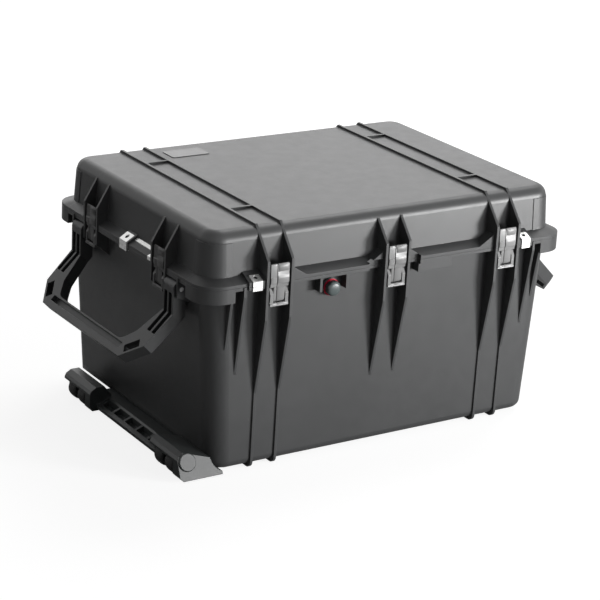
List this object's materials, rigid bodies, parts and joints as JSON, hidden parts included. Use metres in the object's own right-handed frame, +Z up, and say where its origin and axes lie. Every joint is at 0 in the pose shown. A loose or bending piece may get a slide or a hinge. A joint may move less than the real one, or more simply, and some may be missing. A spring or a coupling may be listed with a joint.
{
  "type": "wheeled hard transport case",
  "caption": "Moulded hard equipment case with a hinged lid, claw latches, folding end handles, padlock hasps, a purge valve and a wheel bar along one lower edge.",
  "frame": {"origin": "centre of the footprint, on the floor that the feet and wheels stand on", "axes": "+X along the case away from the wheels, +Y from the latched front to the hinged back, +Z up"},
  "size_m": [0.9506, 0.58, 0.447],
  "materials": {
    "shell_black": "fine moulded grain",
    "seal_black": "matt",
    "label_dark": "smooth",
    "pin_steel": "drawn",
    "hasp_steel": "brushed",
    "handle_black": "fine moulded grain",
    "bar_black": "satin",
    "valve_dark": "satin",
    "ring_red": "matt",
    "latch_grey": "satin",
    "latch_dark": "satin",
    "hub_black": "satin",
    "tyre_black": "matt"
  },
  "bodies": {
    "base": {"base_shell": "shell_black", "base_rim": "shell_black", "base_fins_front": "shell_black", "base_fins_rear": "shell_black", "base_fins_ends": "shell_black", "hinge_pins": "pin_steel", "lever_pins": "pin_steel", "hasp_plates_base": "hasp_steel", "handle_pins": "pin_steel", "wheel_bar": "bar_black", "wheel_axles": "pin_steel", "bar_cap": "bar_black", "valve_body": "valve_dark", "valve_ring": "ring_red", "valve_nut": "valve_dark"},
    "lid": {"lid_shell": "shell_black", "lid_rim": "shell_black", "lid_fins_front": "shell_black", "lid_fins_rear": "shell_black", "lid_fins_ends": "shell_black", "lid_seal": "seal_black", "label_plate": "label_dark", "keeper_pins": "pin_steel", "hasp_plates_lid": "hasp_steel", "rim_strips": "hasp_steel"},
    "handle_left": {"handle_left": "handle_black"},
    "handle_right": {"handle_right": "handle_black"},
    "valve_knob": {"valve_knob": "valve_dark"},
    "lever_front_left": {"lever_front_left": "latch_grey", "claw_pin_front_left": "pin_steel"},
    "claw_front_left": {"claw_front_left": "latch_grey"},
    "lever_front_centre": {"lever_front_centre": "latch_grey", "claw_pin_front_centre": "pin_steel"},
    "claw_front_centre": {"claw_front_centre": "latch_grey"},
    "lever_front_right": {"lever_front_right": "latch_grey", "claw_pin_front_right": "pin_steel"},
    "claw_front_right": {"claw_front_right": "latch_grey"},
    "lever_left_front": {"lever_left_front": "latch_dark", "claw_pin_left_front": "pin_steel"},
    "claw_left_front": {"claw_left_front": "latch_dark"},
    "lever_left_rear": {"lever_left_rear": "latch_dark", "claw_pin_left_rear": "pin_steel"},
    "claw_left_rear": {"claw_left_rear": "latch_dark"},
    "lever_right_front": {"lever_right_front": "latch_dark", "claw_pin_right_front": "pin_steel"},
    "claw_right_front": {"claw_right_front": "latch_dark"},
    "lever_right_rear": {"lever_right_rear": "latch_dark", "claw_pin_right_rear": "pin_steel"},
    "claw_right_rear": {"claw_right_rear": "latch_dark"},
    "wheel_front_outer": {"hub_front_outer": "hub_black", "tyre_front_outer": "tyre_black"},
    "wheel_front_inner": {"hub_front_inner": "hub_black", "tyre_front_inner": "tyre_black"},
    "wheel_rear_inner": {"hub_rear_inner": "hub_black", "tyre_rear_inner": "tyre_black"},
    "wheel_rear_outer": {"hub_rear_outer": "hub_black", "tyre_rear_outer": "tyre_black"}
  },
  "joints": [
    {"name": "lid_hinge", "type": "hinge", "parent": "base", "child": "lid", "pos_m": [0, 0.284, 0.3503], "axis": [-1, 0, 0], "range_deg": [0, 100]},
    {"name": "handle_left_pivot", "type": "hinge", "parent": "base", "child": "handle_left", "pos_m": [-0.383, 0, 0.33], "axis": [0, 1, 0], "range_deg": [0, 90]},
    {"name": "handle_right_pivot", "type": "hinge", "parent": "base", "child": "handle_right", "pos_m": [0.383, 0, 0.33], "axis": [0, -1, 0], "range_deg": [0, 90]},
    {"name": "valve_turn", "type": "hinge", "parent": "base", "child": "valve_knob", "pos_m": [-0.126, -0.285, 0.321], "axis": [0, -1, 0], "range_deg": [0, 270]},
    {"name": "lever_front_left_pivot", "type": "hinge", "parent": "base", "child": "lever_front_left", "pos_m": [-0.2435, -0.28, 0.337], "axis": [-1, 0, 0], "range_deg": [-12, 75]},
    {"name": "claw_front_left_pivot", "type": "hinge", "parent": "lever_front_left", "child": "claw_front_left", "pos_m": [-0.2435, -0.27956, 0.32464], "axis": [-1, 0, 0], "range_deg": [-76, 13]},
    {"name": "lever_front_centre_pivot", "type": "hinge", "parent": "base", "child": "lever_front_centre", "pos_m": [0, -0.28, 0.337], "axis": [-1, 0, 0], "range_deg": [-12, 75]},
    {"name": "claw_front_centre_pivot", "type": "hinge", "parent": "lever_front_centre", "child": "claw_front_centre", "pos_m": [0, -0.27956, 0.32464], "axis": [-1, 0, 0], "range_deg": [-76, 13]},
    {"name": "lever_front_right_pivot", "type": "hinge", "parent": "base", "child": "lever_front_right", "pos_m": [0.2435, -0.28, 0.337], "axis": [-1, 0, 0], "range_deg": [-12, 75]},
    {"name": "claw_front_right_pivot", "type": "hinge", "parent": "lever_front_right", "child": "claw_front_right", "pos_m": [0.2435, -0.27956, 0.32464], "axis": [-1, 0, 0], "range_deg": [-76, 13]},
    {"name": "lever_left_front_pivot", "type": "hinge", "parent": "base", "child": "lever_left_front", "pos_m": [-0.3815, -0.1275, 0.337], "axis": [0, 1, 0], "range_deg": [-12, 75]},
    {"name": "claw_left_front_pivot", "type": "hinge", "parent": "lever_left_front", "child": "claw_left_front", "pos_m": [-0.38106, -0.1275, 0.32464], "axis": [0, 1, 0], "range_deg": [-76, 13]},
    {"name": "lever_left_rear_pivot", "type": "hinge", "parent": "base", "child": "lever_left_rear", "pos_m": [-0.3815, 0.1275, 0.337], "axis": [0, 1, 0], "range_deg": [-12, 75]},
    {"name": "claw_left_rear_pivot", "type": "hinge", "parent": "lever_left_rear", "child": "claw_left_rear", "pos_m": [-0.38106, 0.1275, 0.32464], "axis": [0, 1, 0], "range_deg": [-76, 13]},
    {"name": "lever_right_front_pivot", "type": "hinge", "parent": "base", "child": "lever_right_front", "pos_m": [0.3815, -0.1275, 0.337], "axis": [0, -1, 0], "range_deg": [-12, 75]},
    {"name": "claw_right_front_pivot", "type": "hinge", "parent": "lever_right_front", "child": "claw_right_front", "pos_m": [0.38106, -0.1275, 0.32464], "axis": [0, -1, 0], "range_deg": [-76, 13]},
    {"name": "lever_right_rear_pivot", "type": "hinge", "parent": "base", "child": "lever_right_rear", "pos_m": [0.3815, 0.1275, 0.337], "axis": [0, -1, 0], "range_deg": [-12, 75]},
    {"name": "claw_right_rear_pivot", "type": "hinge", "parent": "lever_right_rear", "child": "claw_right_rear", "pos_m": [0.38106, 0.1275, 0.32464], "axis": [0, -1, 0], "range_deg": [-76, 13]},
    {"name": "wheel_front_outer_spin", "type": "hinge", "parent": "base", "child": "wheel_front_outer", "pos_m": [-0.392, -0.219, 0.02], "axis": [0, 1, 0], "continuous": true},
    {"name": "wheel_front_inner_spin", "type": "hinge", "parent": "base", "child": "wheel_front_inner", "pos_m": [-0.392, -0.181, 0.02], "axis": [0, 1, 0], "continuous": true},
    {"name": "wheel_rear_inner_spin", "type": "hinge", "parent": "base", "child": "wheel_rear_inner", "pos_m": [-0.392, 0.117, 0.02], "axis": [0, 1, 0], "continuous": true},
    {"name": "wheel_rear_outer_spin", "type": "hinge", "parent": "base", "child": "wheel_rear_outer", "pos_m": [-0.392, 0.155, 0.02], "axis": [0, 1, 0], "continuous": true}
  ],
  "couplings": [
    {"joint": "claw_front_left_pivot", "follows": "lever_front_left_pivot", "ratio": -1},
    {"joint": "claw_front_centre_pivot", "follows": "lever_front_centre_pivot", "ratio": -1},
    {"joint": "claw_front_right_pivot", "follows": "lever_front_right_pivot", "ratio": -1},
    {"joint": "claw_left_front_pivot", "follows": "lever_left_front_pivot", "ratio": -1},
    {"joint": "claw_left_rear_pivot", "follows": "lever_left_rear_pivot", "ratio": -1},
    {"joint": "claw_right_front_pivot", "follows": "lever_right_front_pivot", "ratio": -1},
    {"joint": "claw_right_rear_pivot", "follows": "lever_right_rear_pivot", "ratio": -1}
  ]
}
